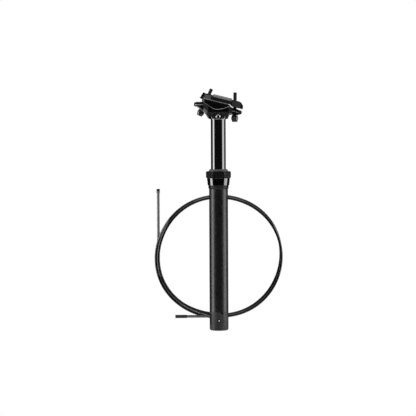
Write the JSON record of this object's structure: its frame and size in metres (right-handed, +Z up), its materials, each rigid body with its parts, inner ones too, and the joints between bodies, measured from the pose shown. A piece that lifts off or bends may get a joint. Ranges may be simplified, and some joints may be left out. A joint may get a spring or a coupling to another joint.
{
  "type": "dropper seatpost",
  "caption": "Telescoping bicycle seatpost with a two-bolt saddle clamp head, a gas cartridge, a cable actuator in the bottom cap and two coiled gear housings.",
  "frame": {"origin": "on the post's axis, at the underside of the collar, which rests on the frame when the post is pushed right in", "axes": "+Z up the post's axis, +X to the front of the bicycle, +Y to its left"},
  "size_m": [0.1849, 0.0552, 0.3483],
  "materials": {
    "black_anodised": "satin black anodised aluminium",
    "gloss_black": "polished black anodised aluminium",
    "matte_black": "matte black anodised aluminium",
    "black_steel": "black finished steel",
    "bright_steel": "bright ground steel",
    "alloy": "machined aluminium",
    "brass": "machined brass",
    "seal_rubber": "moulded rubber",
    "bearing_plastic": "acetal bearing plastic",
    "housing_black": "extruded black jacket"
  },
  "bodies": {
    "outer_post": {"outer_tube": "black_anodised", "head_collar": "gloss_black", "seal_nut": "matte_black", "wiper_seal": "seal_rubber", "o_ring": "seal_rubber", "foam_ring": "seal_rubber", "upper_bushing": "bearing_plastic", "gas_cylinder": "alloy", "cylinder_head": "alloy", "valve_body": "alloy", "spring_cap": "alloy", "valve_spring": "bright_steel", "actuator_cap": "matte_black", "set_screw": "bright_steel", "lever_pin": "bright_steel", "housing_a_lead": "housing_black", "housing_a_coil": "housing_black", "housing_b_lead": "housing_black", "housing_b_coil": "housing_black", "ferrule_a_top": "matte_black", "ferrule_a_end": "matte_black", "ferrule_b_tip": "matte_black", "ferrule_b_end": "matte_black"},
    "inner_post": {"stanchion_tube": "gloss_black", "lower_bushing": "bearing_plastic", "guide_ring": "bearing_plastic", "top_out_bumper": "seal_rubber", "keys": "brass", "head_yoke": "matte_black", "cross_pin": "bright_steel", "rod_plug": "alloy", "gas_rod": "bright_steel", "piston": "alloy"},
    "saddle_clamp": {"lower_cradle": "matte_black", "upper_clamp": "matte_black"},
    "front_bolt_unit": {"front_bolt": "black_steel", "front_washer": "black_steel"},
    "rear_bolt_unit": {"rear_bolt": "black_steel", "rear_washer": "black_steel"},
    "front_nut_unit": {"front_nut": "black_steel"},
    "rear_nut_unit": {"rear_nut": "black_steel"},
    "float_unit": {"floating_piston": "alloy"},
    "lever_unit": {"actuator_lever": "alloy", "cable_barrel": "bright_steel", "cable_screw": "black_steel"},
    "pin_unit": {"valve_pin": "brass"}
  },
  "joints": [
    {"name": "stanchion_slide", "type": "slide", "parent": "outer_post", "child": "inner_post", "axis": [0, 0, -1], "range_m": [0, 0.07], "stiffness_N_per_m": 50, "springref_m": -0.25},
    {"name": "floating_piston_slide", "type": "slide", "parent": "outer_post", "child": "float_unit", "axis": [0, 0, -1], "range_m": [0, 0.0175]},
    {"name": "clamp_tilt", "type": "hinge", "parent": "inner_post", "child": "saddle_clamp", "pos_m": [0, 0, 0.129], "axis": [0, 1, 0], "range_deg": [-8, 1.5]},
    {"name": "front_bolt_swivel", "type": "hinge", "parent": "inner_post", "child": "front_bolt_unit", "pos_m": [0.0238, 0, 0.1054], "axis": [0, 1, 0], "range_deg": [-0.36, 1.88]},
    {"name": "rear_bolt_swivel", "type": "hinge", "parent": "inner_post", "child": "rear_bolt_unit", "pos_m": [-0.0232, 0, 0.1136], "axis": [0, 1, 0], "range_deg": [-0.34, 1.77]},
    {"name": "front_nut_turn", "type": "hinge", "parent": "saddle_clamp", "child": "front_nut_unit", "pos_m": [0.02414, 0, 0.12247], "axis": [0, 1, 0], "range_deg": [-1.86, 9.88]},
    {"name": "rear_nut_turn", "type": "hinge", "parent": "saddle_clamp", "child": "rear_nut_unit", "pos_m": [-0.01458, 0, 0.13212], "axis": [0, 1, 0], "range_deg": [-1.84, 9.77]},
    {"name": "valve_pin_slide", "type": "slide", "parent": "outer_post", "child": "pin_unit", "axis": [0, 0, 1], "range_m": [0, 0.00152], "stiffness_N_per_m": 50, "springref_m": -0.004, "deforming": ["valve_spring"]},
    {"name": "lever_pull", "type": "hinge", "parent": "outer_post", "child": "lever_unit", "pos_m": [-0.00312, -0.00159, -0.186], "axis": [0.454, -0.891, 0], "range_deg": [0, 25]}
  ],
  "couplings": [
    {"joint": "floating_piston_slide", "follows": "stanchion_slide", "ratio": 0.25},
    {"joint": "front_bolt_swivel", "follows": "clamp_tilt", "ratio": -0.2348},
    {"joint": "rear_bolt_swivel", "follows": "clamp_tilt", "ratio": -0.2203},
    {"joint": "front_nut_turn", "follows": "clamp_tilt", "ratio": -1.2348},
    {"joint": "rear_nut_turn", "follows": "clamp_tilt", "ratio": -1.2203},
    {"joint": "lever_pull", "follows": "valve_pin_slide", "rad_per_m": 288}
  ]
}
